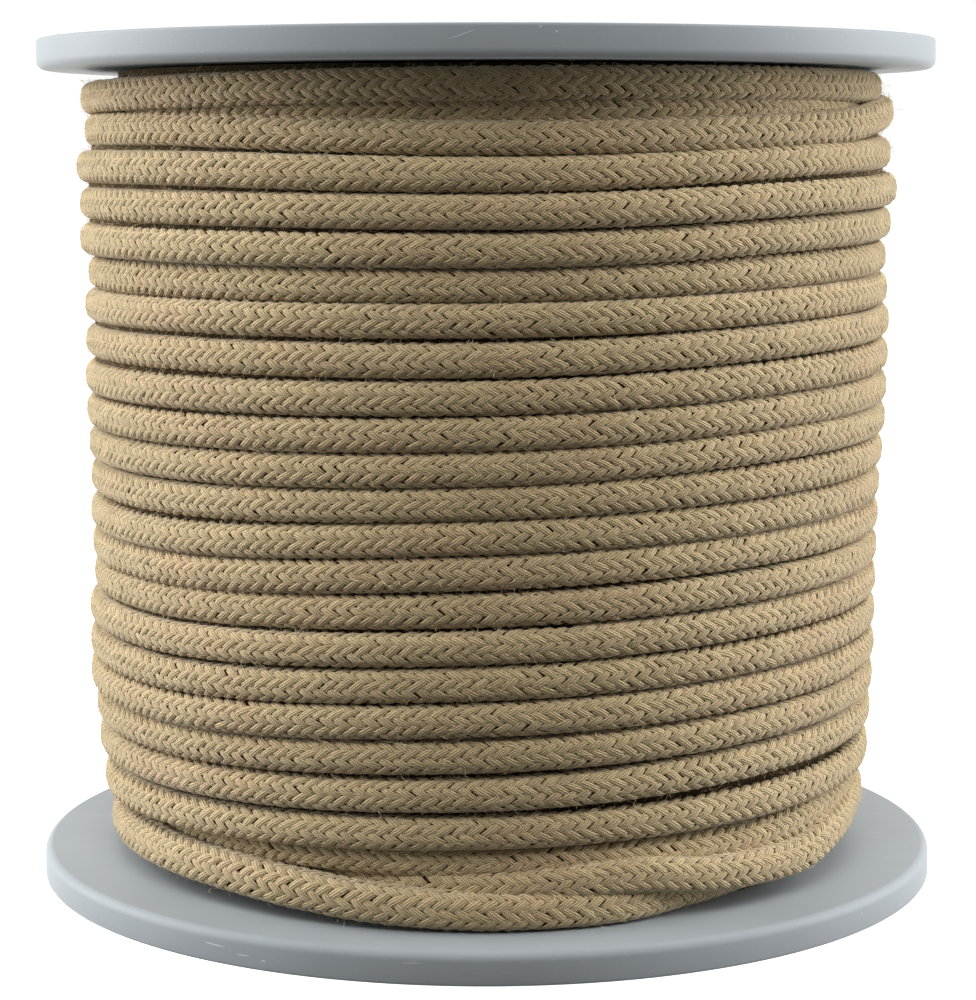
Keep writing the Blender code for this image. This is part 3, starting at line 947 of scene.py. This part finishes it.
class ROPESPOOL_OT_stage(bpy.types.Operator):
    """Set the plain studio: floor, lights, surroundings and the photograph's camera"""

    bl_idname = "rope_spool.stage"
    bl_label = "Set the stage"
    FLOOR_SIZE = 40.0
    LIGHTS = (
        # name        place                 width height
        ("left_light", (-0.8, 0.1, 0.35), 0.7, 0.7),
        ("right_light", (0.8, 0.1, 0.35), 0.7, 0.7),
        ("high_front_light", (0.0, -0.76, 1.0), 0.8, 0.5),
    )

    def execute(self, context):
        settings = context.scene.rope_spool_stage
        low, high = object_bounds()
        middle = (0.0, 0.0, (low.z + high.z) / 2.0)
        half = self.FLOOR_SIZE / 2.0
        mesh = bpy.data.meshes.new("floor")
        corners = [(-half, -half, low.z), (half, -half, low.z), (half, half, low.z), (-half, half, low.z)]
        mesh.from_pydata(corners, [], [(0, 1, 2, 3)])
        mesh.materials.append(material_once("lit_white_table", plain_floor_material, settings))
        floor = bpy.data.objects.new("floor", mesh)
        context.scene.collection.objects.link(floor)
        floor.visible_diffuse = False
        floor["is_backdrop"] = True
        powers = (settings.left_power, settings.right_power, settings.top_power)
        for (name, place, width, height), power in zip(self.LIGHTS, powers):
            data = bpy.data.lights.new(name, "AREA")
            data.shape = "RECTANGLE"
            data.size, data.size_y = width, height
            data.energy = power
            light = bpy.data.objects.new(name, data)
            light.location = place
            aim(light, middle)
            context.scene.collection.objects.link(light)
        world = bpy.data.worlds.new("white_surroundings")
        world.use_nodes = True
        tree = world.node_tree
        way = add_node(tree, "ShaderNodeTexCoord")
        parts = add_node(tree, "ShaderNodeSeparateXYZ", None, {"Vector": way.outputs["Generated"]})
        strength = add_node(tree, "ShaderNodeMapRange", {"interpolation_type": "SMOOTHSTEP"}, {
            "Value": parts.outputs["Y"], "From Min": -0.35, "From Max": 0.45,
            "To Min": settings.before_strength, "To Max": settings.behind_strength})
        tree.nodes["Background"].inputs["Color"].default_value = (1.0, 1.0, 1.0, 1.0)
        tree.links.new(strength.outputs["Result"], tree.nodes["Background"].inputs["Strength"])
        context.scene.world = world
        context.scene.view_settings.view_transform = "Standard"
        camera_data = bpy.data.cameras.new("photo_camera")
        camera_data.sensor_width = SENSOR_SIZE
        camera_data.lens = FOCAL_PIXELS * SENSOR_SIZE / PHOTO_HEIGHT
        camera_data.shift_x = (PHOTO_WIDTH / 2.0 - PRINCIPAL_X) / PHOTO_HEIGHT
        camera_data.shift_y = -(PHOTO_HEIGHT / 2.0 - PRINCIPAL_Y) / PHOTO_HEIGHT
        camera_data.clip_start = 0.01
        camera = bpy.data.objects.new("photo_camera", camera_data)
        camera.location = (0.0, -CAMERA_DISTANCE, CAMERA_HEIGHT)
        camera.rotation_euler = (math.pi / 2.0 - CAMERA_PITCH, CAMERA_ROLL, 0.0)
        context.scene.collection.objects.link(camera)
        context.scene.camera = camera
        return {"FINISHED"}


OPERATORS = (
    ROPESPOOL_OT_stage,
    ROPESPOOL_OT_outer_turns,
    ROPESPOOL_OT_slack_strand,
    ROPESPOOL_OT_groove_strands,
    ROPESPOOL_OT_under_layer,
    ROPESPOOL_OT_fuzz,
    ROPESPOOL_OT_flanges,
    ROPESPOOL_OT_rim_marks,
)


class ROPESPOOL_PT_panel(bpy.types.Panel):
    """Lists the pieces that dress the spool"""

    bl_idname = "ROPESPOOL_PT_panel"
    bl_label = "Rope spool"
    bl_space_type = "VIEW_3D"
    bl_region_type = "UI"
    bl_category = "Rope spool"

    def draw(self, context):
        for operator in OPERATORS:
            self.layout.operator(operator.bl_idname)
        scene = context.scene
        for group in (scene.rope_spool_rope, scene.rope_spool_spool, scene.rope_spool_stage):
            for name in type(group).__annotations__:
                self.layout.prop(group, name)


SETTINGS = (
    ("rope_spool_rope", RopeSettings),
    ("rope_spool_spool", SpoolSettings),
    ("rope_spool_stage", StageSettings),
)


def register():
    for name, group in SETTINGS:
        bpy.utils.register_class(group)
        setattr(bpy.types.Scene, name, bpy.props.PointerProperty(type=group))
    for item in (*OPERATORS, ROPESPOOL_PT_panel):
        bpy.utils.register_class(item)


def unregister():
    for item in reversed((*OPERATORS, ROPESPOOL_PT_panel)):
        bpy.utils.unregister_class(item)
    for name, group in reversed(SETTINGS):
        delattr(bpy.types.Scene, name)
        bpy.utils.unregister_class(group)


def main():
    register()
    bpy.ops.rope_spool.stage()
    bpy.ops.rope_spool.outer_turns()
    bpy.ops.rope_spool.slack_strand()
    bpy.ops.rope_spool.groove_strands()
    bpy.ops.rope_spool.under_layer()
    bpy.ops.rope_spool.fuzz()
    bpy.ops.rope_spool.flanges()
    bpy.ops.rope_spool.rim_marks()


if __name__ == "__main__":
    main()
